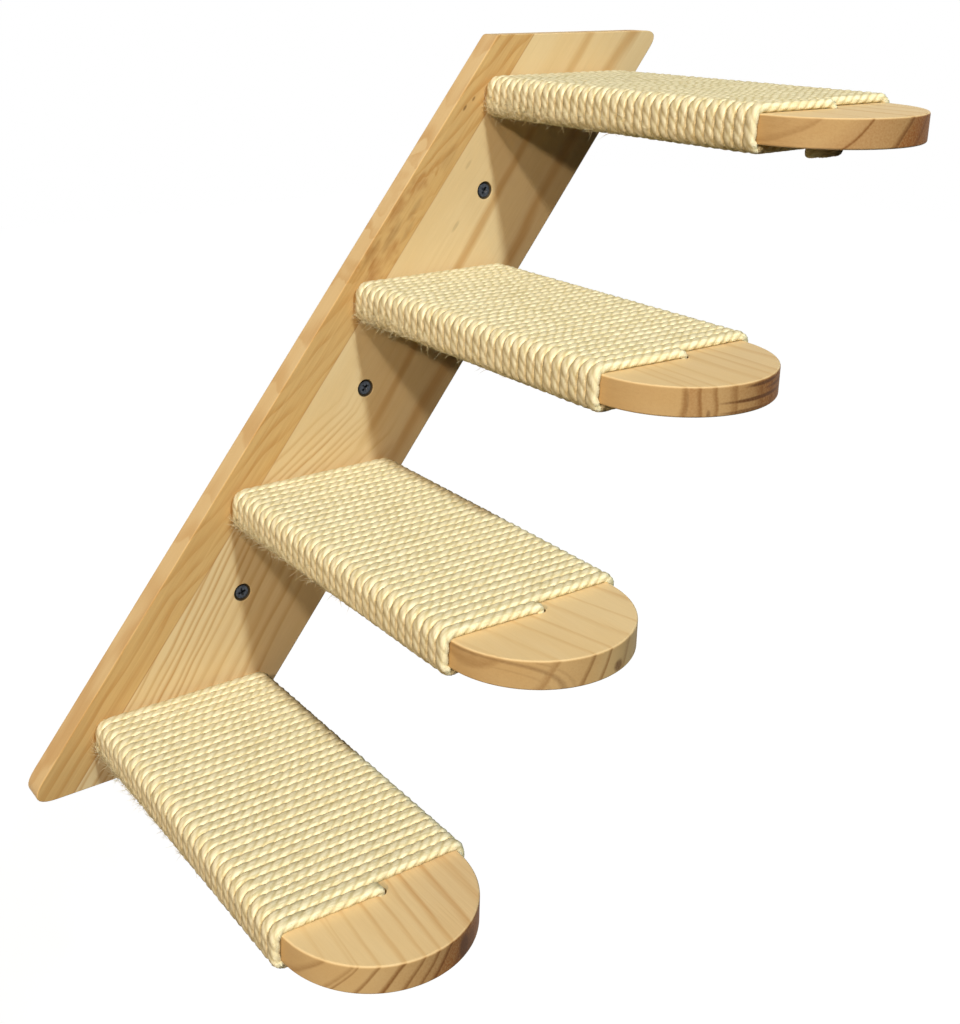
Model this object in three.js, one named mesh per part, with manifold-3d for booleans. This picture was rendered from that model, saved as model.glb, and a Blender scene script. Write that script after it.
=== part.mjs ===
// A wall-mounted climbing stair for a cat: a leaning backboard that carries four cantilevered
// steps, each wound with sisal rope from the board to where its rounded nose begins.
//
// Millimetres. +Z is up, +X runs along the wall towards the top of the stair, and +Y goes into
// the wall. The origin is on the wall, behind the middle of the lowest step.

import * as THREE from 'three';
import { mergeVertices } from 'three/addons/utils/BufferGeometryUtils.js';
import Module from 'manifold-3d';

// ---- Driving dimensions ----------------------------------------------------------------------

const SEAT_GAP = 0.3; // left between pieces that touch on the real object
const CUT_OVER = 1; // how far a cutter runs past a face, so that the cut is clean
const MERGE_TOLERANCE = 1e-3;

// Backboard: a parallelogram with level ends.
const BOARD_THICKNESS = 15;
const BOARD_HEIGHT = 417.8;
const BOARD_LEVEL_WIDTH = 137.2; // measured along a level line
const BOARD_DROP = 31.8; // from the middle of the lowest step to the bottom edge
const BOARD_LEAN = 0.784; // sideways run for each unit of height
const BOARD_CENTRE_SHIFT = -5.4; // of the board's centre line at the height of the lowest step
const BOARD_SHARP_CORNER_CUT = 9; // length taken off each side where a sharp corner is rounded
const BOARD_BLUNT_CORNER_CUT = 2;
const BOARD_ARRIS = 1.2;

// Steps: flat boards with a half-round nose. They are set by hand, so not quite evenly.
const STEP_RISES = [0, 120.8, 234.2, 349.8];
const STEP_SHIFTS = [0, -2.2, -4.8, 0]; // off the line of the lean
const STEP_WIDTH = 102;
const STEP_THICKNESS = 15;
const STEP_STRAIGHT = 208; // from the backboard to the start of the nose
const STEP_NOSE = 49.6;
const STEP_ARRIS = 2.5;

// Rope: 6 mm sisal, pressed a little flat, wound towards the nose.
const ROPE_RADIAL = 4.9; // thickness that stands on the wood
const ROPE_AXIAL = 5.8; // width along the step
const ROPE_SIDES = 5;
const ROPE_START = 3.6; // centre of the first turn, from the backboard
const ROPE_TURNS = 32; // whole turns, before the last part-turn that ends in the hole
const ROPE_PITCH = 6.31;
const ROPE_CORNER_CUT = 3; // chamfer of the rope's centre line over each arris

// The rope's end goes down through the step and is hitched round under it.
const END_HOLE_DISTANCE = 210; // from the backboard
const END_HOLE_SHIFT = 2;
const END_HOLE_RADIUS = 3.4;
const END_BEND = 3.2; // radius of the bends into and out of the hole
const HITCH_RADIUS = 6.6; // of the rope's centre line
const HITCH_TURN = 200; // degrees
const HITCH_FALL = 1.5; // how far it sinks on the way round

// Screws. The wall screws are driven from the front, the step screws from behind the board.
const WALL_SCREW = {
  shankRadius: 2.4,
  headRadius: 4.2,
  length: 50,
  tipLength: 7,
  recessSpan: 4.8,
  recessArm: 1.2,
  recessDepth: 1.6,
};
const STEP_SCREW = {
  shankRadius: 2,
  headRadius: 3.8,
  length: 50,
  tipLength: 6,
  recessSpan: 4.4,
  recessArm: 1.2,
  recessDepth: 1.5,
};
const WALL_SCREW_RISES = [65.1, 178.6, 292.3];
const WALL_SCREW_SHIFT = -2.6; // off the board's centre line
const WALL_SCREW_SINK = 0.8; // of the head below the board's face
const WALL_SCREW_MOUTH_RADIUS = 5.8; // of its countersink
const STEP_SCREW_SPACING = 56;
const STEP_SCREW_SINK = 0.4;
const STEP_SCREW_MOUTH_RADIUS = 5;
const SCREW_RIM = 0.4; // straight edge of a head, above its cone

// Facets.
const ARRIS_SEGMENTS = 2;
const NOSE_SEGMENTS = 18;
const CORNER_SEGMENTS = 4;
const HOLE_SEGMENTS = 12;
const END_BEND_SEGMENTS = 2;
const HITCH_SEGMENTS = 6;

// ---- Materials -------------------------------------------------------------------------------

function makeMaterials() {
  return {
    backboard: new THREE.MeshStandardMaterial({ color: 0xd9b988, roughness: 0.6, metalness: 0 }),
    step: new THREE.MeshStandardMaterial({ color: 0xddbd8b, roughness: 0.6, metalness: 0 }),
    rope: new THREE.MeshStandardMaterial({ color: 0xe3d7ad, roughness: 0.95, metalness: 0 }),
    screw: new THREE.MeshStandardMaterial({ color: 0x4b4a48, roughness: 0.4, metalness: 0.9 }),
  };
}

// ---- Solids: closed meshes that can be cut and joined ----------------------------------------

const wasm = await Module();
wasm.setup();

function toSolid(geometry) {
  geometry.deleteAttribute('normal');
  geometry.deleteAttribute('uv');
  const merged = mergeVertices(geometry, MERGE_TOLERANCE);
  const triangles = [];
  for (let i = 0; i < merged.index.count; i += 3) {
    const [a, b, c] = [0, 1, 2].map((corner) => merged.index.getX(i + corner));
    // A revolved profile has slivers of no area where it meets its axis.
    if (a !== b && b !== c && c !== a) triangles.push(a, b, c);
  }
  const mesh = new wasm.Mesh({
    numProp: 3,
    vertProperties: new Float32Array(merged.attributes.position.array),
    triVerts: new Uint32Array(triangles),
  });
  return new wasm.Manifold(mesh);
}

function toGeometry(solid) {
  const mesh = solid.getMesh();
  const geometry = new THREE.BufferGeometry();
  geometry.setAttribute('position', new THREE.BufferAttribute(mesh.vertProperties, 3));
  geometry.setIndex(new THREE.BufferAttribute(mesh.triVerts, 1));
  return geometry;
}

function cutAll(solid, cutters) {
  return cutters.reduce((rest, cutter) => rest.subtract(cutter), solid);
}

// ---- Shapes ----------------------------------------------------------------------------------

// A polygon whose corner i is rounded from a point cuts[i] before it to one cuts[i] after it.
function roundedPolygon(corners, cuts) {
  const shape = new THREE.Shape();
  corners.forEach((corner, i) => {
    const before = corners[(i + corners.length - 1) % corners.length];
    const after = corners[(i + 1) % corners.length];
    const start = corner.clone().add(before.clone().sub(corner).setLength(cuts[i]));
    const end = corner.clone().add(after.clone().sub(corner).setLength(cuts[i]));
    if (i === 0) shape.moveTo(start.x, start.y);
    else shape.lineTo(start.x, start.y);
    shape.quadraticCurveTo(corner.x, corner.y, end.x, end.y);
  });
  shape.closePath();
  return shape;
}

// A board of the given outline from z = 0 to z = thickness, with its arrises taken off.
function boardGeometry(shape, thickness, arris, curveSegments) {
  const geometry = new THREE.ExtrudeGeometry(shape, {
    depth: thickness - 2 * arris,
    bevelEnabled: true,
    bevelThickness: arris,
    bevelSize: arris,
    bevelOffset: -arris,
    bevelSegments: ARRIS_SEGMENTS,
    curveSegments,
  });
  return geometry.translate(0, 0, arris);
}

// A round cutter along +Y, from y = 0 to y = length, with a conical mouth around y = 0.
function countersunkCutter(radius, mouthRadius, length) {
  const profile = [
    new THREE.Vector2(0, -CUT_OVER),
    new THREE.Vector2(mouthRadius + CUT_OVER, -CUT_OVER),
    new THREE.Vector2(radius, mouthRadius - radius),
    new THREE.Vector2(radius, length),
    new THREE.Vector2(0, length),
  ];
  return toSolid(new THREE.LatheGeometry(profile, HOLE_SEGMENTS));
}

function roundCutter(radius, length) {
  const geometry = new THREE.CylinderGeometry(radius, radius, length, HOLE_SEGMENTS);
  return toSolid(geometry.translate(0, length / 2, 0));
}

// ---- Places ----------------------------------------------------------------------------------

function boardCentreAt(height) {
  return BOARD_CENTRE_SHIFT + BOARD_LEAN * height;
}

function stepPlaces() {
  return STEP_RISES.map((rise, i) =>
    new THREE.Vector3(BOARD_LEAN * rise + STEP_SHIFTS[i], -BOARD_THICKNESS, rise));
}

function wallScrewPlaces() {
  const depth = -BOARD_THICKNESS + WALL_SCREW_SINK;
  return WALL_SCREW_RISES.map((rise) =>
    new THREE.Vector3(boardCentreAt(rise) + WALL_SCREW_SHIFT, depth, rise));
}

// The two screws behind a step stand either side of its middle.
function stepScrewOffsets() {
  return [-STEP_SCREW_SPACING / 2, STEP_SCREW_SPACING / 2];
}

// ---- Backboard -------------------------------------------------------------------------------

function makeBackboard() {
  const bottom = -BOARD_DROP;
  const top = BOARD_HEIGHT - BOARD_DROP;
  const half = BOARD_LEVEL_WIDTH / 2;
  const corners = [
    new THREE.Vector2(boardCentreAt(bottom) - half, bottom),
    new THREE.Vector2(boardCentreAt(bottom) + half, bottom),
    new THREE.Vector2(boardCentreAt(top) + half, top),
    new THREE.Vector2(boardCentreAt(top) - half, top),
  ];
  const [sharp, blunt] = [BOARD_SHARP_CORNER_CUT, BOARD_BLUNT_CORNER_CUT];
  const outline = roundedPolygon(corners, [sharp, blunt, sharp, blunt]);
  const board = boardGeometry(outline, BOARD_THICKNESS, BOARD_ARRIS, CORNER_SEGMENTS);
  // Drawn upright: the outline's y becomes z, and its thickness runs from the wall to -Y.
  board.rotateX(Math.PI / 2);

  const through = BOARD_THICKNESS + CUT_OVER;
  const wallHole = countersunkCutter(
    WALL_SCREW.shankRadius + SEAT_GAP,
    WALL_SCREW_MOUTH_RADIUS,
    through,
  );
  const stepHole = countersunkCutter(
    STEP_SCREW.shankRadius + SEAT_GAP,
    STEP_SCREW_MOUTH_RADIUS,
    through,
  ).rotate([180, 0, 0]); // countersunk from behind
  const wallHoles = wallScrewPlaces().map((place) =>
    wallHole.translate([place.x, -BOARD_THICKNESS, place.z]));
  const stepHoles = stepPlaces().flatMap((place) => stepScrewOffsets().map((offset) =>
    stepHole.translate([place.x + offset, 0, place.z])));
  return toGeometry(cutAll(toSolid(board), [...wallHoles, ...stepHoles]));
}

// ---- Steps -----------------------------------------------------------------------------------

// In a step's own frame the backboard's face is at y = 0 and the nose points to -Y.
function makeStepBoard() {
  const half = STEP_WIDTH / 2;
  const outline = new THREE.Shape();
  outline.moveTo(half, -SEAT_GAP);
  outline.lineTo(-half, -SEAT_GAP);
  outline.lineTo(-half, -STEP_STRAIGHT);
  outline.absellipse(0, -STEP_STRAIGHT, half, STEP_NOSE, Math.PI, 2 * Math.PI, false, 0);
  outline.closePath();
  const board = boardGeometry(outline, STEP_THICKNESS, STEP_ARRIS, NOSE_SEGMENTS);
  board.translate(0, 0, -STEP_THICKNESS / 2);

  const endHole = roundCutter(END_HOLE_RADIUS, STEP_THICKNESS + 2 * CUT_OVER)
    .rotate([90, 0, 0])
    .translate([END_HOLE_SHIFT, -END_HOLE_DISTANCE, -STEP_THICKNESS / 2 - CUT_OVER]);
  const reach = STEP_SCREW.length + STEP_SCREW_SINK - BOARD_THICKNESS;
  const pilotHoles = stepScrewOffsets().map((offset) =>
    roundCutter(STEP_SCREW.shankRadius + SEAT_GAP, reach + CUT_OVER)
      .translate([offset, -reach - SEAT_GAP, 0]));
  return toGeometry(cutAll(toSolid(board), [endHole, ...pilotHoles]));
}

// ---- Rope ------------------------------------------------------------------------------------

// A path through fixed stations. Each station also says which way the rope's outer side faces,
// so the flat inner side stays on the wood all the way round.
class WoundPath extends THREE.Curve {
  constructor(stations) {
    super();
    this.stations = stations;
  }

  getSpacedPoints() {
    return this.stations.map((station) => station.point);
  }

  computeFrenetFrames() {
    const last = this.stations.length - 1;
    const tangents = this.stations.map((station, i) => {
      const before = this.stations[Math.max(i - 1, 0)].point;
      const after = this.stations[Math.min(i + 1, last)].point;
      const into = station.point.clone().sub(before).normalize();
      const out = after.clone().sub(station.point).normalize();
      return into.add(out).normalize();
    });
    const normals = this.stations.map((station, i) =>
      station.outward.clone().projectOnPlane(tangents[i]).normalize());
    const binormals = tangents.map((tangent, i) => tangent.clone().cross(normals[i]));
    return { tangents, normals, binormals };
  }
}

// The rope's section: a polygon with a flat inner side and a crown outside.
function ropeSection() {
  const innerApothem = Math.cos(Math.PI / ROPE_SIDES);
  const widest = Math.max(...Array.from(
    { length: ROPE_SIDES },
    (_, i) => Math.sin((2 * Math.PI * i) / ROPE_SIDES),
  ));
  const radial = ROPE_RADIAL / (1 + innerApothem);
  const axial = ROPE_AXIAL / (2 * widest);
  const points = Array.from({ length: ROPE_SIDES }, (_, i) => {
    const angle = (2 * Math.PI * i) / ROPE_SIDES;
    return new THREE.Vector2(radial * Math.cos(angle), axial * Math.sin(angle));
  });
  return { shape: new THREE.Shape(points), inner: radial * innerApothem };
}

// The rope's centre line round the step, as the two ends of the chamfer at each corner. The rope
// runs left under the step, up its left side, right over it and down its right side.
function turnEnds(inner) {
  const halfWidth = STEP_WIDTH / 2 + SEAT_GAP + inner;
  const halfHeight = STEP_THICKNESS / 2 + SEAT_GAP + inner;
  const tilt = Math.tan(Math.PI / 8); // halfway from a flat to its chamfer
  const flatEnd = (right, up) => ({
    at: new THREE.Vector2(right * (halfWidth - ROPE_CORNER_CUT), up * halfHeight),
    outward: new THREE.Vector3(right * tilt, 0, up),
  });
  const sideEnd = (right, up) => ({
    at: new THREE.Vector2(right * halfWidth, up * (halfHeight - ROPE_CORNER_CUT)),
    outward: new THREE.Vector3(right, 0, up * tilt),
  });
  const ends = [
    flatEnd(-1, -1),
    sideEnd(-1, -1),
    sideEnd(-1, 1),
    flatEnd(-1, 1),
    flatEnd(1, 1),
    sideEnd(1, 1),
    sideEnd(1, -1),
    flatEnd(1, -1),
  ];
  return { ends, halfHeight };
}

function ropeStations(inner) {
  const { ends, halfHeight } = turnEnds(inner);
  // How far round the step each end lies, from the middle of the underside.
  const start = new THREE.Vector2(0, -halfHeight);
  const travelled = [];
  let from = start;
  let distance = 0;
  for (const end of ends) {
    distance += end.at.distanceTo(from);
    travelled.push(distance);
    from = end.at;
  }
  const around = distance + from.distanceTo(start);

  const down = new THREE.Vector3(0, 0, -1);
  const stations = [
    { point: new THREE.Vector3(start.x, -ROPE_START, start.y), outward: down },
  ];
  const endsToTopLeft = 4;
  for (let i = 0; i < ROPE_TURNS * ends.length + endsToTopLeft; i += 1) {
    const end = ends[i % ends.length];
    const turns = Math.floor(i / ends.length) + travelled[i % ends.length] / around;
    const point = new THREE.Vector3(end.at.x, -ROPE_START - ROPE_PITCH * turns, end.at.y);
    stations.push({ point, outward: end.outward });
  }
  return [...stations, ...tailStations(halfHeight)];
}

// The last part-turn crosses half of the top, goes down through the hole, bends towards the nose
// and ends in a hitch against the underside.
function tailStations(topHeight) {
  const hitchHeight = -STEP_THICKNESS / 2 - SEAT_GAP - ROPE_AXIAL / 2;
  const right = new THREE.Vector3(1, 0, 0);
  const up = new THREE.Vector3(0, 0, 1);
  const forward = new THREE.Vector3(0, -1, 0);
  const hole = new THREE.Vector3(END_HOLE_SHIFT, -END_HOLE_DISTANCE, 0);
  const bend = (i) => (Math.PI / 2) * (i / END_BEND_SEGMENTS);
  const stations = [];
  for (let i = 0; i <= END_BEND_SEGMENTS; i += 1) {
    const outward = right.clone().multiplyScalar(Math.sin(bend(i)))
      .addScaledVector(up, Math.cos(bend(i)));
    const point = hole.clone()
      .addScaledVector(right, -END_BEND)
      .addScaledVector(up, topHeight - END_BEND)
      .addScaledVector(outward, END_BEND);
    stations.push({ point, outward });
  }
  for (let i = 0; i <= END_BEND_SEGMENTS; i += 1) {
    const point = hole.clone()
      .addScaledVector(forward, END_BEND * (1 - Math.cos(bend(i))))
      .addScaledVector(up, hitchHeight + END_BEND * (1 - Math.sin(bend(i))));
    stations.push({ point, outward: right });
  }
  for (let i = 1; i <= HITCH_SEGMENTS; i += 1) {
    const share = i / HITCH_SEGMENTS;
    const angle = THREE.MathUtils.degToRad(HITCH_TURN * share);
    const outward = right.clone().multiplyScalar(Math.cos(angle))
      .addScaledVector(forward, Math.sin(angle));
    const point = hole.clone()
      .addScaledVector(forward, END_BEND)
      .addScaledVector(right, -HITCH_RADIUS)
      .addScaledVector(outward, HITCH_RADIUS)
      .addScaledVector(up, hitchHeight - HITCH_FALL * share);
    stations.push({ point, outward });
  }
  return stations;
}

function makeRopeWrap() {
  const { shape, inner } = ropeSection();
  const stations = ropeStations(inner);
  const geometry = new THREE.ExtrudeGeometry(shape, {
    steps: stations.length - 1,
    extrudePath: new WoundPath(stations),
  });
  return toGeometry(toSolid(geometry));
}

// ---- Screws ----------------------------------------------------------------------------------

// A countersunk screw along +Y, with the top of its head at y = 0 and a cross recess in it.
function makeScrew(size) {
  const coneHeight = size.headRadius - size.shankRadius; // a right-angled cone
  const profile = [
    new THREE.Vector2(0, 0),
    new THREE.Vector2(size.headRadius, 0),
    new THREE.Vector2(size.headRadius, SCREW_RIM),
    new THREE.Vector2(size.shankRadius, SCREW_RIM + coneHeight),
    new THREE.Vector2(size.shankRadius, size.length - size.tipLength),
    new THREE.Vector2(0, size.length),
  ];
  const body = toSolid(new THREE.LatheGeometry(profile, HOLE_SEGMENTS));
  const arms = [[size.recessSpan, size.recessArm], [size.recessArm, size.recessSpan]];
  const recess = arms.map(([width, height]) =>
    toSolid(new THREE.BoxGeometry(width, 2 * size.recessDepth, height)));
  return toGeometry(cutAll(body, recess));
}

// ---- Assembly --------------------------------------------------------------------------------

const stair = new THREE.Group();
const materials = makeMaterials();

function addPiece(parent, name, geometry, material) {
  const mesh = new THREE.Mesh(geometry, material.clone());
  mesh.name = name;
  parent.add(mesh);
  return mesh;
}

addPiece(stair, 'backboard', makeBackboard(), materials.backboard);

wallScrewPlaces().forEach((place, i) => {
  const screw = addPiece(stair, `wall_screw_${i + 1}`, makeScrew(WALL_SCREW), materials.screw);
  screw.position.copy(place);
});

stepPlaces().forEach((place, i) => {
  const step = new THREE.Group();
  step.position.copy(place);
  stair.add(step);
  addPiece(step, `step_board_${i + 1}`, makeStepBoard(), materials.step);
  addPiece(step, `rope_wrap_${i + 1}`, makeRopeWrap(), materials.rope);
  stepScrewOffsets().forEach((offset, side) => {
    const name = `step_screw_${i + 1}_${side === 0 ? 'left' : 'right'}`;
    const screw = addPiece(step, name, makeScrew(STEP_SCREW), materials.screw);
    screw.position.set(offset, BOARD_THICKNESS - STEP_SCREW_SINK, 0);
    screw.rotation.z = Math.PI;
  });
});

export default stair;
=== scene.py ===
"""A wall-mounted climbing stair for a cat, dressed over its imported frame.

The sizes below are millimetres, as in the part's source: +Z is up, +X runs along the wall towards
the top of the stair, and +Y goes into the wall. The meshes are written in metres.
"""

import math

import bmesh
import bpy
import numpy
from mathutils import Matrix, Vector


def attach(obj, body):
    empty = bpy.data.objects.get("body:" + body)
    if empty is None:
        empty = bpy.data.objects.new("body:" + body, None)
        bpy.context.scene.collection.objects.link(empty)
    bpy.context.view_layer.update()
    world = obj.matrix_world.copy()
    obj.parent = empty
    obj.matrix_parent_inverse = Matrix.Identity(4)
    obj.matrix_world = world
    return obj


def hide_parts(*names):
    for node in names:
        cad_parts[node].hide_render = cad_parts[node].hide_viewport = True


bl_info = {
    "name": "Cat climbing stair",
    "version": (1, 0, 0),
    "blender": (4, 5, 0),
    "location": "3D View > Sidebar > Climbing Stair",
    "description": "Dresses the frame of a rope-wound wooden climbing stair",
    "category": "Object",
}

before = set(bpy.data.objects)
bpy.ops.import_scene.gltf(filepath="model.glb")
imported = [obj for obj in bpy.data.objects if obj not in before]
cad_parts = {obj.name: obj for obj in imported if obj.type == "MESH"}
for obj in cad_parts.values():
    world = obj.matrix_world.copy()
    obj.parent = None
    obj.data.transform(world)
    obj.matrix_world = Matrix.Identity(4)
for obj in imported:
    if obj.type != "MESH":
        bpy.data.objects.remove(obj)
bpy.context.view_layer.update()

MM = 0.001
SEAT_GAP = 0.3

BOARD_THICKNESS = 15.0
BOARD_HEIGHT = 417.8
BOARD_LEVEL_WIDTH = 137.2
BOARD_DROP = 31.8
BOARD_LEAN = 0.784
BOARD_CENTRE_SHIFT = -5.4
BOARD_SHARP_CORNER_CUT = 14.0
BOARD_LOW_CORNER_CUT = 19.0
BOARD_BLUNT_CORNER_CUT = 2.0
BOARD_ARRIS = 0.7

STEP_RISES = (0.0, 120.8, 234.2, 349.8)
STEP_SHIFTS = (0.0, -2.2, -4.8, 0.0)
STEP_WIDTH = 102.0
STEP_THICKNESS = 15.0
STEP_STRAIGHT = 208.0
STEP_NOSE = 49.6
STEP_ARRIS = 1.1

ROPE_START = 3.6
ROPE_TURNS = 32
ROPE_PITCH = 6.31
ROPE_CENTRE_STAND = 2.49  # from the wood to the rope's centre line
ROPE_HALF_HEIGHT = 0.0027  # these three in metres, as the rope's tree takes them
ROPE_HALF_WIDTH = 0.00312
ROPE_INNER_FACE = -0.00245
END_HOLE_DISTANCE = 210.0
END_HOLE_SHIFT = 2.0
END_HOLE_RADIUS = 3.4
END_HOLE_LIP = 1.1  # how much wider the hole's cutter is beyond the board's faces
END_BEND = 3.2
HITCH_RADIUS = 7.4
HITCH_TURN = 200.0
HITCH_FALL = 2.8
HITCH_HEIGHT = -STEP_THICKNESS / 2 - SEAT_GAP - 2.9

WALL_SCREW = {"head": 4.2, "shank": 2.4, "core": 1.7, "plain": 16.0, "length": 50.0, "tip": 7.0,
              "span": 5.4, "arm": 1.5, "recess": 2.0}
STEP_SCREW = {"head": 3.8, "shank": 2.0, "core": 1.4, "plain": 16.0, "length": 50.0, "tip": 6.0,
              "span": 4.4, "arm": 1.2, "recess": 1.5}
SCREW_RIM = 0.4
SCREW_SEED = 4
THREAD_PITCH = 2.0
WALL_SCREW_RISES = (65.1, 178.6, 292.3)
WALL_SCREW_SHIFT = -2.6
WALL_SCREW_SINK = 0.8
WALL_SCREW_MOUTH_RADIUS = 5.8
STEP_SCREW_SPACING = 56.0
STEP_SCREW_SINK = 0.4
STEP_SCREW_MOUTH_RADIUS = 5.0
PILOT_DEPTH = 37.4

NOSE_STEPS = 96
CORNER_STEPS = 10
ARRIS_STEPS = 5
HOLE_STEPS = 48
SCREW_STEPS = 32
THREAD_STEPS = 16
END_BEND_STEPS = 6
HITCH_STEPS = 20
ROPE_CORNER_STEPS = 8
ROPE_SIDES = 18
STATIONS_PER_LAY = 12
WOOD_SHARP_ANGLE = 32
SCREW_SHARP_ANGLE = 35

PHOTO_WIDTH = 960
FOCAL_PIXELS = 1307.209
PRINCIPAL_POINT = (396.276, 386.089)
PHOTO_CENTRE = (480.0, 512.0)
CAMERA_PLACE = (-284.66, -655.54, 421.63)
CAMERA_RIGHT = (0.825246, -0.564761, 0.003745)
CAMERA_DOWN = (-0.167372, -0.250892, -0.953436)
CAMERA_FORWARD = (0.539403, 0.786192, -0.301573)
SENSOR_WIDTH = 36.0


def linear(red, green, blue):
    """A colour of 0 to 255 per channel, as light."""
    channels = (value / 255 for value in (red, green, blue))
    return tuple(c / 12.92 if c <= 0.04045 else ((c + 0.055) / 1.055) ** 2.4 for c in channels)


# ---- Nodes ----


class Wire:
    """An output socket with Python's arithmetic: each expression adds its Math nodes."""

    def __init__(self, graph, socket):
        self.graph = graph
        self.socket = socket

    def math(self, operation, *others, clamp=False):
        settings = {"operation": operation, "use_clamp": clamp}
        return self.graph.node("ShaderNodeMath", settings, [self, *others])

    def reflected(self, operation, value):
        return self.graph.node("ShaderNodeMath", {"operation": operation}, [value, self])

    def other(self, name):
        """Another output of the same node."""
        return Wire(self.graph, self.socket.node.outputs[name])

    def __add__(self, value):
        return self.math("ADD", value)

    def __sub__(self, value):
        return self.math("SUBTRACT", value)

    def __rsub__(self, value):
        return self.reflected("SUBTRACT", value)

    def __mul__(self, value):
        return self.math("MULTIPLY", value)

    def __truediv__(self, value):
        return self.math("DIVIDE", value)

    def __rtruediv__(self, value):
        return self.reflected("DIVIDE", value)

    def __neg__(self):
        return self.math("MULTIPLY", -1.0)

    def __pow__(self, value):
        return self.math("POWER", value)

    def __abs__(self):
        return self.math("ABSOLUTE")

    def clamped(self):
        return self.math("ADD", 0.0, clamp=True)

    def least(self, value):
        return self.math("MINIMUM", value)

    def most(self, value):
        return self.math("MAXIMUM", value)

    __radd__ = __add__
    __rmul__ = __mul__


class Graph:
    """Adds nodes to one node tree."""

    def __init__(self, tree):
        self.tree = tree

    def node(self, kind, settings=None, sockets=None, output=0):
        """A node of this kind, with its settings set first and then its sockets' values or links."""
        made = self.tree.nodes.new(kind)
        for name, value in (settings or {}).items():
            if name == "curve":
                self.draw_curve(made.mapping, value)
            else:
                setattr(made, name, value)
        if not isinstance(sockets, dict):
            sockets = dict(enumerate(sockets or []))
        for name, value in sockets.items():
            self.feed(made.inputs[name], value)
        return Wire(self, made.outputs[output]) if made.outputs else made

    def feed(self, socket, value):
        """Links a wire to a socket or sets its value. Wires in a tuple become one vector."""
        if isinstance(value, (list, tuple)) and any(isinstance(v, Wire) for v in value):
            value = self.node("ShaderNodeCombineXYZ", None, list(value))
        if isinstance(value, Wire):
            self.tree.links.new(value.socket, socket)
        elif socket.type == "RGBA" and len(value) == 3:
            socket.default_value = (*value, 1.0)
        else:
            socket.default_value = value

    @staticmethod
    def draw_curve(mapping, points):
        curve = mapping.curves[0]
        for i, (x, y) in enumerate(points):
            if i < 2:
                curve.points[i].location = (x, y)
            else:
                curve.points.new(x, y)
        for point in curve.points:
            point.handle_type = "VECTOR"
        mapping.update()

    def mix(self, factor, first, second, blend="MIX"):
        settings = {"data_type": "RGBA", "blend_type": blend}
        return self.node("ShaderNodeMix", settings, {0: factor, 6: first, 7: second}, output=2)

    def vector(self, operation, *values, output=0):
        settings = {"operation": operation}
        return self.node("ShaderNodeVectorMath", settings, list(values), output=output)

    def length(self, vector):
        return self.vector("LENGTH", vector, output="Value")

    def scaled(self, vector, factor):
        return self.node("ShaderNodeVectorMath", {"operation": "SCALE"}, {0: vector, 3: factor})

    def parts(self, vector):
        """The x, y and z of a vector."""
        x = self.node("ShaderNodeSeparateXYZ", None, [vector])
        return x, x.other("Y"), x.other("Z")

    def coordinates(self, output="Object"):
        return self.node("ShaderNodeTexCoord", output=output)

    def noise(self, vector, detail=2.0, roughness=0.5, scale=1.0):
        sockets = {"Vector": vector, "Scale": scale, "Detail": detail, "Roughness": roughness}
        return self.node("ShaderNodeTexNoise", None, sockets)

    def band(self, value, low, high, to_low=0.0, to_high=1.0, smooth=True):
        """The value mapped from low..high to to_low..to_high and held there beyond."""
        settings = {"interpolation_type": "SMOOTHSTEP" if smooth else "LINEAR"}
        sockets = [value, low, high, to_low, to_high]
        return self.node("ShaderNodeMapRange", settings, sockets)

    def curve(self, value, points, low, high):
        """A drawn curve over low..high; its points are (place, height), the heights 0 to 1."""
        share = (value - low) / (high - low)
        places = [((x - low) / (high - low), y) for x, y in points]
        return self.node("ShaderNodeFloatCurve", {"curve": places}, {0: 1.0, 1: share})

    def bump(self, height, strength, distance):
        sockets = {"Strength": strength, "Distance": distance, "Height": height}
        return self.node("ShaderNodeBump", None, sockets)

    def group_input(self, name):
        """An input of a geometry tree, by its name."""
        return self.node("NodeGroupInput", output=name)

    def named(self, name, kind="FLOAT_VECTOR"):
        """A named attribute in a geometry tree."""
        return self.node("GeometryNodeInputNamedAttribute", {"data_type": kind}, {"Name": name})

    def stored(self, geometry, name, value, kind="FLOAT_VECTOR"):
        """The geometry with a named attribute on its points."""
        settings = {"data_type": kind, "domain": "POINT"}
        sockets = {"Geometry": geometry, "Name": name, "Value": value}
        return self.node("GeometryNodeStoreNamedAttribute", settings, sockets)

    def chance(self, low, high, seed):
        """A random number or vector for each element of a geometry tree."""
        if isinstance(low, tuple):
            sockets = {0: low, 1: high, "Seed": seed}
            return self.node("FunctionNodeRandomValue", {"data_type": "FLOAT_VECTOR"}, sockets)
        sockets = {2: low, 3: high, "Seed": seed}
        return self.node("FunctionNodeRandomValue", {"data_type": "FLOAT"}, sockets, output=1)

    def rotated(self, rotation, own):
        """A rotation after another one about the turned axes."""
        settings = {"rotation_space": "LOCAL"}
        return self.node("FunctionNodeRotateRotation", settings, [rotation, own])


def new_material(name):
    material = bpy.data.materials.new(name)
    material.use_nodes = True
    material.node_tree.nodes.clear()
    return material, Graph(material.node_tree)


def surface(graph, sockets):
    """The finish's Principled shader, joined to the output."""
    shader = graph.node("ShaderNodeBsdfPrincipled", None, sockets)
    graph.node("ShaderNodeOutputMaterial", None, {"Surface": shader})


def new_geometry_tree(name, inputs):
    """A geometry tree that takes a mesh, these inputs, as {name: socket kind}, and a finish."""
    tree = bpy.data.node_groups.new(name, "GeometryNodeTree")
    for title, kind in {"Geometry": "Geometry", **inputs, "Finish": "Material"}.items():
        tree.interface.new_socket(title, in_out="INPUT", socket_type=f"NodeSocket{kind}")
    tree.interface.new_socket("Geometry", in_out="OUTPUT", socket_type="NodeSocketGeometry")
    return tree, Graph(tree)


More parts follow.
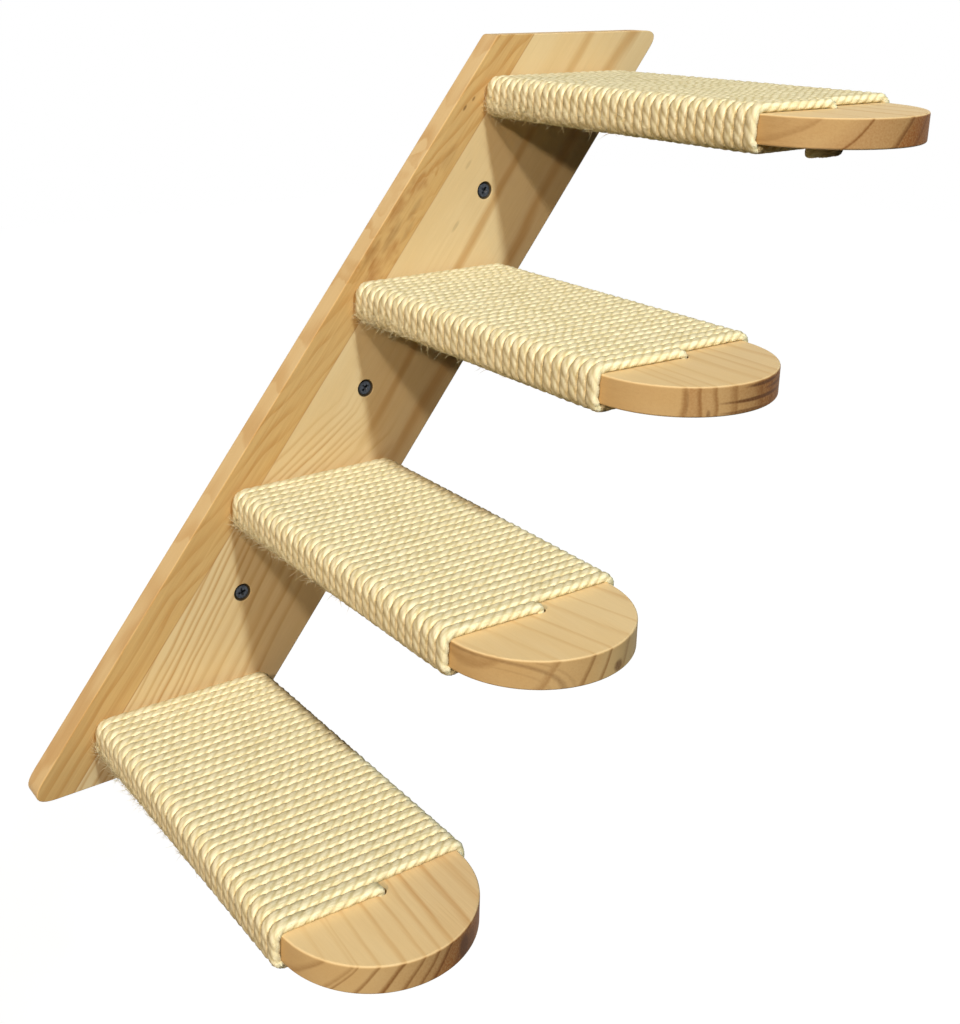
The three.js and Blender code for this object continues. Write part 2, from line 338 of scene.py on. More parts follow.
def finish_tree(graph, geometry):
    """Ends a geometry tree in real geometry that carries the finish."""
    real = graph.node("GeometryNodeRealizeInstances", None, [geometry])
    sockets = {"Geometry": real, "Material": graph.group_input("Finish")}
    coated = graph.node("GeometryNodeSetMaterial", None, sockets)
    graph.node("NodeGroupOutput", None, {"Geometry": coated})


def grow(source, tree, values):
    """Runs a geometry tree on an object with these input values and returns the plain mesh."""
    modifier = source.modifiers.new("Grow", "NODES")
    modifier.node_group = tree
    for item in tree.interface.items_tree:
        if item.in_out == "INPUT" and item.name in values:
            modifier[item.identifier] = values[item.name]
    mesh = baked_mesh(source)
    source.modifiers.remove(modifier)
    return mesh


# ---- Meshes ----


def baked_mesh(source):
    """The object's mesh with its modifiers applied."""
    graph = bpy.context.evaluated_depsgraph_get()
    graph.update()
    evaluated = source.evaluated_get(graph)
    return bpy.data.meshes.new_from_object(
        evaluated, preserve_all_data_layers=True, depsgraph=graph
    )


def add_object(name, data):
    made = bpy.data.objects.new(name, data)
    bpy.context.scene.collection.objects.link(made)
    return made


def drop_object(made):
    mesh = made.data
    bpy.data.objects.remove(made)
    bpy.data.meshes.remove(mesh)


def add_piece(name, mesh, nodes, material):
    """A finished piece that stands for its CAD nodes."""
    mesh.name = name
    mesh.materials.clear()
    mesh.materials.append(material)
    made = add_object(name, mesh)
    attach(made, "root")
    if nodes:
        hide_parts(*nodes)
    return made


def written_mesh(name, shape):
    """The bmesh as a mesh; the bmesh is freed."""
    mesh = bpy.data.meshes.new(name)
    shape.to_mesh(mesh)
    shape.free()
    return mesh


def skin_mesh(name, rows):
    """A closed mesh over rows of places, one after another. A row of one place is a tip."""
    shape = bmesh.new()
    rows = [[shape.verts.new(Vector(place) * MM) for place in row] for row in rows]
    for lower, upper in zip(rows, rows[1:]):
        count = max(len(lower), len(upper))
        for i in range(count):
            after = (i + 1) % count
            corners = [lower[i % len(lower)], lower[after % len(lower)]]
            corners += [upper[after % len(upper)], upper[i % len(upper)]]
            shape.faces.new(list(dict.fromkeys(corners)))
    for end in (rows[0][::-1], rows[-1]):
        if len(end) > 1:
            shape.faces.new(end)
    bmesh.ops.recalc_face_normals(shape, faces=shape.faces)
    return written_mesh(name, shape)


def rounded_outline(corners, cuts):
    """A polygon whose corner i is rounded from cuts[i] before it to cuts[i] after it."""
    points = []
    for i, corner in enumerate(corners):
        before, after = corners[i - 1], corners[(i + 1) % len(corners)]
        start = corner + (before - corner).normalized() * cuts[i]
        end = corner + (after - corner).normalized() * cuts[i]
        for k in range(CORNER_STEPS + 1):
            t = k / CORNER_STEPS
            points.append(start * (1 - t) ** 2 + corner * (2 * t * (1 - t)) + end * t**2)
    return points


def inward_offsets(outline):
    """For each point of an anticlockwise outline, the move that insets it by one."""
    offsets = []
    for i, point in enumerate(outline):
        before = (point - outline[i - 1]).normalized()
        after = (outline[(i + 1) % len(outline)] - point).normalized()
        first, second = Vector((-before.y, before.x)), Vector((-after.y, after.x))
        offsets.append((first + second) / (1 + first.dot(second)))
    return offsets


def board_mesh(outline, thickness, arris, lift):
    """A board of this outline with rounded arrises; lift turns (x, y, height) into its place."""
    turns = [math.pi / 2 * k / ARRIS_STEPS for k in range(ARRIS_STEPS + 1)]
    levels = [(arris * (1 - math.sin(turn)), arris * (1 - math.cos(turn))) for turn in turns]
    levels += [(inset, thickness - height) for inset, height in reversed(levels)]
    inward = inward_offsets(outline)
    rows = []
    for inset, height in levels:
        places = [point + move * inset for point, move in zip(outline, inward)]
        rows.append([lift(place.x, place.y, height) for place in places])
    return skin_mesh("board", rows)


def turned_mesh(name, profile, place=(0, 0, 0), axis=(0, 0, 1), steps=HOLE_STEPS):
    """A closed shape turned from a profile of (radius, distance), about an axis from a place."""
    turn = Vector((0, 0, 1)).rotation_difference(Vector(axis)).to_matrix()
    rows = []
    for radius, distance in profile:
        angles = [math.tau * i / steps for i in range(steps if radius > 0 else 1)]
        around = [Vector((radius * math.cos(a), radius * math.sin(a), distance)) for a in angles]
        rows.append([turn @ local + Vector(place) for local in around])
    return skin_mesh(name, rows)


def joined(name, meshes):
    """Several meshes in one, which are then dropped."""
    shape = bmesh.new()
    for mesh in meshes:
        shape.from_mesh(mesh)
        bpy.data.meshes.remove(mesh)
    return written_mesh(name, shape)


def cut_mesh(mesh, cutters, sharp_angle):
    """The mesh less the cutters, with flat faces that stay flat beside their rounded arrises."""
    body = add_object("cut_body", mesh)
    tool = add_object("cut_tool", joined("cut_tool", cutters))
    cut = body.modifiers.new("Cut", "BOOLEAN")
    cut.object = tool
    cut.solver = "EXACT"
    cut.use_self = True
    cut_result = baked_mesh(body)
    drop_object(body)
    drop_object(tool)
    cut_result.polygons.foreach_set("use_smooth", [True] * len(cut_result.polygons))
    cut_result.set_sharp_from_angle(angle=math.radians(sharp_angle))
    shaded = add_object("cut_shaded", cut_result)
    weighted = shaded.modifiers.new("Weighted", "WEIGHTED_NORMAL")
    weighted.keep_sharp = True
    result = baked_mesh(shaded)
    drop_object(shaded)
    return result


# ---- Places ----


def board_centre_at(height):
    return BOARD_CENTRE_SHIFT + BOARD_LEAN * height


def step_places():
    return [
        Vector((BOARD_LEAN * rise + shift, -BOARD_THICKNESS, rise))
        for rise, shift in zip(STEP_RISES, STEP_SHIFTS)
    ]


def wall_screw_places():
    depth = -BOARD_THICKNESS + WALL_SCREW_SINK
    return [
        Vector((board_centre_at(rise) + WALL_SCREW_SHIFT, depth, rise))
        for rise in WALL_SCREW_RISES
    ]


def step_screw_places():
    return [
        place + Vector((side * STEP_SCREW_SPACING / 2, BOARD_THICKNESS - STEP_SCREW_SINK, 0))
        for place in step_places()
        for side in (-1, 1)
    ]


# ---- Wood ----

WOOD_IOR = 1.46
WOOD_GLOSS = 0.12
GOLDEN_TINT = (1.0, 0.92, 0.72)
# Painted shade: this share of the colour is taken away inside the countersinks.
BORE_SHADE = 0.93  # of the colour, taken away inside the countersinks

# The backboard's places run along it from the height of the lowest step, and across it from the
# line through its middle. A growth line is (place, width, depth), and a spot is (place along,
# place across, half size along, half size across, strength).
GLUE_LINE = -31.5
BOARD_HALF_FIELD = 60
BOARD_LINES = [
    (-29, 2.0, 0.6), (-22.6, 2.0, 0.8), (-17.6, 2, 0.7), (-13.6, 2, 0.85), (-7.6, 2.2, 0.65),
    (-3.6, 2, 0.8), (1.4, 2.2, 0.65), (9, 4, 0.45), (16.4, 3, 0.65), (26, 5, 0.4),
    (34, 4, 0.6), (44, 4, 0.5),
]
BOARD_LINES_FADE = (175, 230, 1.0, 0.1)
BOARD_LINES_BOW = (0, 110, 0, 11)
BOARD_LINES_RETURN = (130, 210, 0, 26)
LONG_LINES_START = (170, 215)
LONG_LINES = [
    {"place": 17.0, "leans": (210, 420, 0, 11), "stray": 6.0, "edges": (0.6, 5.0), "depth": 0.62},
    {"place": 44.0, "leans": (340, 450, 0, 10), "stray": 8.0, "edges": (0.5, 7.0), "depth": 0.7},
]
LEFT_LINES_RISE = (60, 500, 0, 95)
LEFT_LINES_SPACING = 7.5
SWIRL_START = (250, 285)
SWIRL_END = (345, 375)
BOARD_SPOTS = [
    (340, -7, 4.5, 1.2, 0.2), (375, -23, 3.6, 1.2, 0.15), (370, -38, 10, 4, 0.12),
    (400, -47, 2.2, 0.9, 0.6), (408, -45, 1.8, 0.8, 0.5), (310, -44, 12, 2.6, 0.22),
    (332, -40, 9, 2.0, 0.2), (292, -50, 12, 2.0, 0.18), (318, -36, 9, 1.6, 0.2),
]

# Each step's growth, lowest step first. Its lines lean and drift across the nose; its shade is
# how dark the end grain is across the nose and, in a share, on top: real stain along its growth
# lines, and painted shade that darkens the nose's right side, away from the lamps. Its spots and
# arcs are measured across and up from the nose's middle, and an arc is (middle across, middle up,
# half size across, half size up, width, strength).
STEP_HALF_FIELD = 70
NOSE_START = 215.0
STEP_GRAIN = [
    {
        "lean": 0.68, "drift": -0.11, "top": 0.2,
        "lines": [(-41, 2.5, 0.35), (-31, 2, 0.35), (-29, 1.5, 0.5), (-20.5, 2, 0.7), (-10, 2.5, 0.95),
                  (-0.5, 2.5, 0.75), (8, 2.5, 0.75), (15.5, 3, 1.0), (28, 4, 0.8), (41, 6, 0.5)],
        "shade": [(-50, 0.0), (-22, 0.05), (0, 0.35), (14, 0.6), (16, 0.85), (34, 1.0), (50, 1.0)],
        "spots": [(19.5, -1.5, 4.5, 8.0, 1.0), (25, -3, 5.0, 8.0, 0.7)],
    },
    {
        "lean": 0.5, "drift": 0.25, "top": 0.12,
        "lines": [(-48, 4, 0.3), (-30, 3, 0.35), (-15, 2.5, 0.7), (-4, 2.5, 0.65), (12, 4, 0.4),
                  (26.5, 2, 0.5), (45, 4, 0.5)],
        "shade": [(-50, 0.1), (-36, 0.15), (-20, 0.2), (0, 0.05), (16, 0.05), (34, 0.1), (50, 0.4)],
        "spots": [(11.5, -3.6, 3.4, 3.2, 0.75)],
        "arcs": [(-46, -9, 27, 15, 0.1, 0.4), (-46, -9, 21, 11, 0.08, 0.12),
                 (-46, -9, 32, 18, 0.05, 0.16)],
    },
    {
        "lean": 0.0, "drift": 0.0, "top": 0.1,
        "lines": [(-32, 2, 0.6), (-26, 2, 0.6), (-19.5, 2, 0.6), (-10, 4, 0.5), (7, 6, 0.45),
                  (17, 3, 0.6), (25, 4, 0.5), (40, 5, 0.5)],
        "shade": [(-50, 0.1), (-34, 0.15), (-30, 0.5), (-18, 0.3), (0, 0.6), (12, 0.95), (50, 1.0)],
        "spots": [(10, 5.5, 14, 1.0, 0.9), (6, -1, 24, 1.1, 0.9), (-2, -6, 16, 1.0, 0.7),
                  (24, 2.5, 14, 0.9, 0.8), (-32, 0, 1.0, 7, 0.35), (-23, -6, 1.0, 2.5, 0.5)],
    },
    {
        "lean": 0.85, "drift": 0.0, "top": 0.05,
        "lines": [(-40, 3, 0.25), (-20, 1.5, 0.9), (4, 4, 1.0), (20, 4, 0.7), (35, 4, 0.6)],
        "shade": [(-50, 0.2), (-31, 0.2), (-20, 0.5), (0, 0.5), (4, 0.55), (6, 0.9), (15, 1.0),
                  (50, 1.0)],
    },
]


def wood_coordinates(graph, place):
    """Object coordinates in millimetres from a place, as x, y and z."""
    sockets = {
        "Vector": graph.coordinates(),
        "Location": tuple(-value for value in place),
        "Scale": (1 / MM, 1 / MM, 1 / MM),
    }
    return graph.parts(graph.node("ShaderNodeMapping", {"vector_type": "POINT"}, sockets))


def drawn_rings(graph, field, lines, half_field):
    """Growth lines of (place, width, depth) over the field: slow rise, sharp end."""
    points = [(-half_field, 0.0)]
    for place, width, depth in lines:
        points.append((max(place - width, points[-1][0] + 0.2), 0.0))
        points.append((place, depth))
        points.append((place + 0.35 * width, 0.0))
    return graph.curve(field, [*points, (half_field, 0.0)], -half_field, half_field)


def soft_lines(graph, field, spacing):
    """Growth lines at even spacing: a slow rise and a sharp end."""
    share = (field / spacing).math("FRACT")
    return graph.band(share, 0.35, 0.93) * graph.band(share, 0.93, 1.0, 1.0, 0.0)


def from_middle(graph, one, two, place, half_sizes):
    """The distance from an ellipse's middle: 1 on the ellipse."""
    offset = ((one - place[0]) / half_sizes[0], (two - place[1]) / half_sizes[1], 0.0)
    return graph.length(offset)


def marks(graph, one, two, spots):
    """Each spot's strength inside it, with a soft edge."""
    result = 0.0
    for *ellipse, strength in spots:
        distance = from_middle(graph, one, two, ellipse[:2], ellipse[2:])
        result = graph.band(distance, 0.5, 1.25, strength, 0.0).most(result)
    return result


def arcs(graph, one, two, rings):
    """Each arc's strength on it."""
    result = 0.0
    for *ellipse, width, strength in rings:
        distance = abs(from_middle(graph, one, two, ellipse[:2], ellipse[2:]) - 1.0)
        result = graph.band(distance, 0.0, width, strength, 0.0).most(result)
    return result


def wood_finish(graph, wood, place, rings, end, darkened, spots, painted_bore_shade=0.0, golden=0.0):
    """Pine at a place of (along, across, height): its growth rings, fibres, stains and ends, with
    painted shade in the countersinks and on the steps' noses.
    """
    along, across, height = place
    streaks = graph.noise((along * 0.012, across * 0.9, height * 0.9), 3.0, 0.6)
    fibres = graph.noise((along * 0.06, across * 4.0, height * 4.0), 2.0, 0.6)
    clouds = graph.noise((along * 0.012, across * 0.05, height * 0.05), 2.0, 0.5)
    late = (rings + (streaks - 0.5) * 0.5 * wood.streaks).clamped()
    # The darkening share: real stain, and on the steps' noses painted shade as well.
    stain_and_shade = (darkened * (0.92 + (streaks - 0.5) * 1.1)).clamped()
    spots = (spots * (1.0 + (streaks - 0.5) * 0.8)).clamped()
    colour = graph.mix(late, wood.early, wood.late)
    colour = graph.mix(graph.band(clouds, 0.35, 0.7, 0.0, 0.45), colour, wood.warm)
    colour = graph.mix(stain_and_shade, colour, wood.stain_and_shade)
    colour = graph.mix(end, colour, wood.end, "MULTIPLY")
    colour = graph.mix(golden, colour, GOLDEN_TINT, "MULTIPLY")
    colour = graph.mix(spots, colour, wood.dark)
    # The colour's scale: the fibres' tone, less the painted shade inside the countersinks.
    grain = (1.0 + (fibres - 0.5) * 0.2) * (1.0 - painted_bore_shade * BORE_SHADE)
    surface(graph, {
        "Base Color": graph.scaled(colour, grain),
        "Roughness": graph.band(fibres, 0.3, 0.7, wood.roughness - 0.05, wood.roughness + 0.06),
        "Normal": graph.bump(fibres * 0.5 + late * 0.3, 0.15, 0.0002),
        "IOR": WOOD_IOR,
        "Specular IOR Level": WOOD_GLOSS,
    })


def screw_mouths(graph, x, z):
    """1 inside the mouths of the wall screws' countersinks, where the wood's colour is darkened as
    painted shade.
    """
    result = 0.0
    for place in wall_screw_places():
        offset = (x - (place.x - BOARD_CENTRE_SHIFT), z - place.z, 0.0)
        edge = WALL_SCREW_MOUTH_RADIUS
        result = graph.band(graph.length(offset), edge - 0.5, edge, 1.0, 0.0).most(result)
    return result


def left_stave_rings(graph, along, across, wobble, swirl):
    """Even lines that cross the stave as they rise, and swirl in one part of it."""
    rise = graph.band(along, *LEFT_LINES_RISE, smooth=False)
    field = across - rise + (wobble - 0.5) * 9.0 + swirl * 20.0
    return soft_lines(graph, field, LEFT_LINES_SPACING) * graph.band(wobble, 0.3, 0.6, 0.15, 0.5)


def right_stave_rings(graph, along, across, wobble):
    """Drawn lines that bow beside the glue line low down, and two long lines above them."""
    bow = graph.band(along, *BOARD_LINES_BOW, smooth=False)
    bow = bow - graph.band(along, *BOARD_LINES_RETURN, smooth=False)
    field = across + bow + (wobble - 0.5) * 5.0
    rings = drawn_rings(graph, field, BOARD_LINES, BOARD_HALF_FIELD)
    rings = rings * graph.band(along, *BOARD_LINES_FADE)
    long_lines = 0.0
    for line in LONG_LINES:
        middle = line["place"] - graph.band(along, *line["leans"], smooth=False)
        offset = abs(across - middle + (wobble - 0.5) * line["stray"])
        long_lines = graph.band(offset, *line["edges"], line["depth"], 0.0).most(long_lines)
    return rings.most(long_lines * graph.band(along, *LONG_LINES_START))


def backboard_wood(wood):
    """Two staves glued side by side, the left one darker and livelier."""
    material, graph = new_material("backboard_pine")
    x, y, z = wood_coordinates(graph, (BOARD_CENTRE_SHIFT, 0, 0))
    slope = math.hypot(1, BOARD_LEAN)
    up, side = 1 / slope, BOARD_LEAN / slope
    along = x * side + z * up
    across = x * up - z * side
    wobble = graph.noise((along * 0.02, across * 0.06, y * 0.05), 1.0)
    swirl = graph.noise((along * 0.05, across * 0.09, y * 0.05), 2.0, 0.6)
    swirl_share = graph.band(along, *SWIRL_START) * graph.band(along, *SWIRL_END, 1.0, 0.0)
    left = graph.band(across, GLUE_LINE - 0.2, GLUE_LINE + 0.2, 1.0, 0.0)
    left_rings = left_stave_rings(graph, along, across, wobble, (swirl - 0.5) * swirl_share)
    right_rings = right_stave_rings(graph, along, across, wobble)
    _, facing_front, facing_up = graph.parts(graph.coordinates("Normal"))
    front = graph.band(abs(facing_front), 0.2, 0.9)
    glue = graph.band(abs(across - GLUE_LINE), 0.1, 0.55, 0.35, 0.0)
    mottle = graph.band(swirl, 0.45, 0.75, 0.0, 0.4) * swirl_share
    wood_finish(
        graph, wood, (along, across, y),
        rings=left * left_rings + (1.0 - left) * right_rings,
        end=abs(facing_up) * (1.0 - front) * 0.5,
        darkened=(left * (0.3 + mottle) + glue) * (0.1 + front * 0.9),
        spots=marks(graph, along, across, BOARD_SPOTS),
        painted_bore_shade=screw_mouths(graph, x, z),
        golden=left * front,
    )
    return material


def step_wood(index, wood):
    grain = STEP_GRAIN[index]
    material, graph = new_material(f"step_pine_{index + 1}")
    x, y, z = wood_coordinates(graph, step_places()[index])
    along = -y
    wobble = graph.noise((along * 0.02, x * 0.05, z * 0.05 + index * 7.0), 1.0)
    field = x - (z - STEP_THICKNESS / 2) * grain["lean"] - (along - NOSE_START) * grain["drift"]
    field = field + (wobble - 0.5) * 4.0
    rings = drawn_rings(graph, field, grain["lines"], STEP_HALF_FIELD)
    _, _, facing_up = graph.parts(graph.coordinates("Normal"))
    end = graph.band(abs(facing_up), 0.25, 0.85, 1.0, 0.0)
    # The shade curve: real stain along the growth lines, and painted shade that darkens the nose's
    # right side.
    first, last = (-STEP_HALF_FIELD, grain["shade"][0][1]), (STEP_HALF_FIELD, 0.9)
    shade = graph.curve(field, [first, *grain["shade"], last], first[0], last[0])
    spots = (rings * 0.7).most(marks(graph, x, z, grain.get("spots", [])))
    wood_finish(
        graph, wood, (along, x, z),
        rings=rings * (0.72 + end * 0.28),
        end=end,
        darkened=shade * (end + (1.0 - end) * grain["top"]),
        spots=spots.most(arcs(graph, x, z, grain.get("arcs", []))) * end,
    )
    return material


# ---- Rope ----

ROPE_IOR = 1.35
ROPE_GLOSS = 0.2
STRANDS = 3
STRAND_WEIGHT = 0.5  # how much the strands differ from each other
LAY_LOOSENESS = 5.0  # how far the lay runs ahead or behind, as an angle
SECTION_POWER = 0.55  # below 1, the rope's section is squarer in its height
SECTION_SPREAD = 1.06
ROPE_SEED_STEP = 1.7
FIBRE_SEED = 11
ROPE_TREE_INPUTS = (
    "Lay Length", "Strand Radius", "Strand Offset", "Half Height", "Half Width", "Inner Face",
    "Wander", "Seed",
)
ROPE_HELPERS = ("core", "outward", "sideways", "run", "heading", "around", "hairy")
FIBRE_TREE_INPUTS = {
    "Density": "Float", "Shortest": "Float", "Longest": "Float", "Thickness": "Float",
    "Spread": "Vector", "Lift": "Float", "Seed": "Int",
}
SHORT_FIBRES = {
    "Shortest": 0.0022, "Longest": 0.0055, "Thickness": 0.015, "Spread": (0.2, 0.16, 0.5), "Lift": 0.1,
}
HANGING_FIBRES = {
    "Shortest": 0.004, "Longest": 0.011, "Thickness": 0.017, "Spread": (0.6, 0.5, 1.9), "Lift": 0.5,
}
FRINGE_REACH = 150.0  # along the step from the backboard, over which the hanging fibres thin out
FRINGE_WIDTH = 3.0  # over which they begin, towards the step's left side
FRINGE_INSET = 2.0
FRINGE_DROP = 4.0  # over which they begin, below the step's middle
FRINGE_AREA = 0.0006  # square metres that they grow on, about
ROPE_BULGE = 1.6  # of a rope's outer surface to the flat one under it


def turn_points(corner):
    """One turn round a step as (x, z, outward x, outward z), from the middle of the underside."""
    half_width = STEP_WIDTH / 2 + ROPE_CENTRE_STAND
    half_height = STEP_THICKNESS / 2 + ROPE_CENTRE_STAND
    points = [(0.0, -half_height, 0.0, -1.0)]
    for right, up, start in ((-1, -1, 270), (-1, 1, 180), (1, 1, 90), (1, -1, 0)):
        for k in range(ROPE_CORNER_STEPS + 1):
            angle = math.radians(start - 90 * k / ROPE_CORNER_STEPS)
            out_x, out_z = math.cos(angle), math.sin(angle)
            x = right * (half_width - corner) + corner * out_x
            z = up * (half_height - corner) + corner * out_z
            points.append((x, z, out_x, out_z))
    return points


def winding_points(corner):
    """The wound part of the route as (place, outward), in the step's frame."""
    turn = turn_points(corner)
    travelled = [0.0]
    for one, two in zip(turn, turn[1:]):
        travelled.append(travelled[-1] + math.dist(one[:2], two[:2]))
    around = travelled[-1] + math.dist(turn[-1][:2], turn[0][:2])
    to_top_left = 1 + 2 * (ROPE_CORNER_STEPS + 1)
    route = []
    for i in range(ROPE_TURNS * len(turn) + to_top_left):
        x, z, out_x, out_z = turn[i % len(turn)]
        turns = i // len(turn) + travelled[i % len(turn)] / around
        place = Vector((x, -ROPE_START - ROPE_PITCH * turns, z))
        route.append((place, Vector((out_x, 0, out_z))))
    return route


def tail_points():
    """The rope's end: into the hole, out towards the nose and round in a hitch."""
    top = STEP_THICKNESS / 2 + ROPE_CENTRE_STAND
    right, up, forward = Vector((1, 0, 0)), Vector((0, 0, 1)), Vector((0, -1, 0))
    hole = Vector((END_HOLE_SHIFT, -END_HOLE_DISTANCE, 0))
    bends = [math.pi / 2 * k / END_BEND_STEPS for k in range(END_BEND_STEPS + 1)]
    route = []
    for bend in bends:
        outward = right * math.sin(bend) + up * math.cos(bend)
        route.append((hole - right * END_BEND + up * (top - END_BEND) + outward * END_BEND, outward))
    for bend in bends:
        forth, rise = END_BEND * (1 - math.cos(bend)), END_BEND * (1 - math.sin(bend))
        route.append((hole + forward * forth + up * (HITCH_HEIGHT + rise), right))
    centre = hole + forward * END_BEND - right * HITCH_RADIUS
    for k in range(1, HITCH_STEPS + 1):
        angle = math.radians(HITCH_TURN * k / HITCH_STEPS)
        outward = right * math.cos(angle) + forward * math.sin(angle)
        height = up * (HITCH_HEIGHT - HITCH_FALL * k / HITCH_STEPS)
        route.append((centre + outward * HITCH_RADIUS + height, outward))
    return route


def route_mesh(route, place):
    """The route as a line of edges that carries its outward directions."""
    mesh = bpy.data.meshes.new("rope_route")
    points = [(place + point) * MM for point, _ in route]
    mesh.from_pydata(points, [(i, i + 1) for i in range(len(points) - 1)], [])
    outward = mesh.attributes.new("outward", "FLOAT_VECTOR", "POINT")
    outward.data.foreach_set("vector", [value for _, way in route for value in way])
    return mesh


def rope_centre_line(graph, given):
    """The route at even steps, with its run, its three directions and a little wander."""
    line = graph.node("GeometryNodeMeshToCurve", None, [given("Geometry")])
    sockets = {"Curve": line, "Length": given("Lay Length") / STATIONS_PER_LAY}
    curve = graph.node("GeometryNodeResampleCurve", {"mode": "LENGTH"}, sockets)
    tangent = graph.node("GeometryNodeInputTangent")
    sideways = graph.vector("CROSS_PRODUCT", graph.named("outward"), tangent)
    sideways = graph.vector("NORMALIZE", sideways)
    curve = graph.stored(curve, "heading", tangent)
    curve = graph.stored(curve, "sideways", sideways)
    outward = graph.vector("CROSS_PRODUCT", graph.named("heading"), graph.named("sideways"))
    curve = graph.stored(curve, "outward", outward)
    run = graph.node("GeometryNodeSplineParameter", output="Length")
    curve = graph.stored(curve, "run", run, "FLOAT")
    drift = graph.noise((graph.named("run", "FLOAT") * 22.0, given("Seed"), 0.0))
    drift = graph.scaled(graph.named("sideways"), (drift - 0.5) * given("Wander"))
    curve = graph.node("GeometryNodeSetPosition", None, {"Geometry": curve, "Offset": drift})
    here = graph.node("GeometryNodeInputPosition")
    return graph.stored(curve, "core", here)


def rope_tree():
    """A three-strand rope laid left-handed along a route and pressed against the wood."""
    tree, graph = new_geometry_tree("laid_rope", dict.fromkeys(ROPE_TREE_INPUTS, "Float"))
    given = graph.group_input
    curve = rope_centre_line(graph, given)
    sockets = {"Resolution": ROPE_SIDES, "Radius": MM}
    section = graph.node("GeometryNodeCurvePrimitiveCircle", None, sockets)
    number = graph.node("GeometryNodeInputIndex")
    section = graph.stored(section, "around", number * (math.tau / ROPE_SIDES), "FLOAT")
    sockets = {"Curve": curve, "Profile Curve": section, "Fill Caps": True}
    mesh = graph.node("GeometryNodeCurveToMesh", None, sockets)

    around = graph.named("around", "FLOAT")
    run = graph.named("run", "FLOAT")
    strand = around * (STRANDS / math.tau) + 0.5
    from_crown = (strand.math("FRACT") - 0.5) * (math.tau / STRANDS)
    strand = strand.math("FLOOR").math("MODULO", STRANDS)
    uneven = graph.noise((run * 70.0, strand * 9.0, given("Seed")), 1.0)
    offset = given("Strand Offset") * (1.0 + (uneven - 0.5) * STRAND_WEIGHT)
    radius = given("Strand Radius")
    across = offset * from_crown.math("SINE")
    reach = offset * from_crown.math("COSINE") + (radius * radius - across * across).math("SQRT")
    reach = reach / (radius + given("Strand Offset"))
    loose = graph.noise((run * 9.0, given("Seed"), 5.0))
    phase = around + run / given("Lay Length") * math.tau + (loose - 0.5) * LAY_LOOSENESS
    phase = phase + given("Seed")
    deep, wide = phase.math("COSINE"), phase.math("SINE")
    flatter = deep.math("SIGN") * abs(deep) ** SECTION_POWER
    depth = (flatter * reach * given("Half Height")).most(given("Inner Face"))
    half = given("Half Width")
    width = (wide * reach * half * SECTION_SPREAD).least(half).most(-half)
    lay = (deep * reach, wide * reach, run / MM)
    mesh = graph.stored(mesh, "lay_place", lay)
    mesh = graph.stored(mesh, "crown", from_crown.math("COSINE") * 2.0 - 1.0, "FLOAT")
    out = graph.scaled(graph.named("outward"), depth)
    aside = graph.scaled(graph.named("sideways"), width)
    place = graph.vector("ADD", graph.named("core"), graph.vector("ADD", out, aside))
    mesh = graph.node("GeometryNodeSetPosition", None, {"Geometry": mesh, "Position": place})
    mesh = graph.node("GeometryNodeSetShadeSmooth", None, {"Geometry": mesh, "Shade Smooth": True})
    finish_tree(graph, mesh)
    return tree


def fibre_tree():
    """Short curved fibres that lie along a rope and lift off it."""
    tree, graph = new_geometry_tree("loose_fibres", FIBRE_TREE_INPUTS)
    given = graph.group_input
    line = graph.node("GeometryNodeCurvePrimitiveLine", None, {"End": (1.0, 0.0, 0.0)})
    line = graph.node("GeometryNodeResampleCurve", {"mode": "COUNT"}, {"Curve": line, "Count": 6})
    run = graph.node("GeometryNodeSplineParameter")
    bow = (0.0, (run * 5.0).math("SINE") * 0.06, run * run * 0.16)
    line = graph.node("GeometryNodeSetPosition", None, {"Geometry": line, "Offset": bow})
    sockets = {"Resolution": 3, "Radius": given("Thickness")}
    section = graph.node("GeometryNodeCurvePrimitiveCircle", None, sockets)
    sockets = {"Curve": line, "Profile Curve": section, "Scale": 1.05 - run, "Fill Caps": True}
    fibre = graph.node("GeometryNodeCurveToMesh", None, sockets)

    density = given("Density") * graph.named("hairy", "FLOAT")
    sockets = {"Mesh": given("Geometry"), "Density": density, "Seed": given("Seed")}
    points = graph.node("GeometryNodeDistributePointsOnFaces", None, sockets)
    axes = {"primary_axis": "Z", "secondary_axis": "X"}
    sockets = {"Primary Axis": points.other("Normal"), "Secondary Axis": graph.named("heading")}
    facing = graph.node("FunctionNodeAxesToRotation", axes, sockets)
    turn = graph.chance((-1.0,) * 3, (1.0,) * 3, given("Seed") + 1)
    tilt = graph.vector("MULTIPLY", given("Spread"), turn)
    tilt = graph.vector("ADD", tilt, (0.0, -given("Lift"), 0.0))
    tilt = graph.node("FunctionNodeEulerToRotation", None, [tilt])
    sockets = {
        "Points": points,
        "Instance": fibre,
        "Rotation": graph.rotated(facing, tilt),
        "Scale": graph.chance(given("Shortest"), given("Longest"), given("Seed") + 2),
    }
    finish_tree(graph, graph.node("GeometryNodeInstanceOnPoints", None, sockets))
    return tree


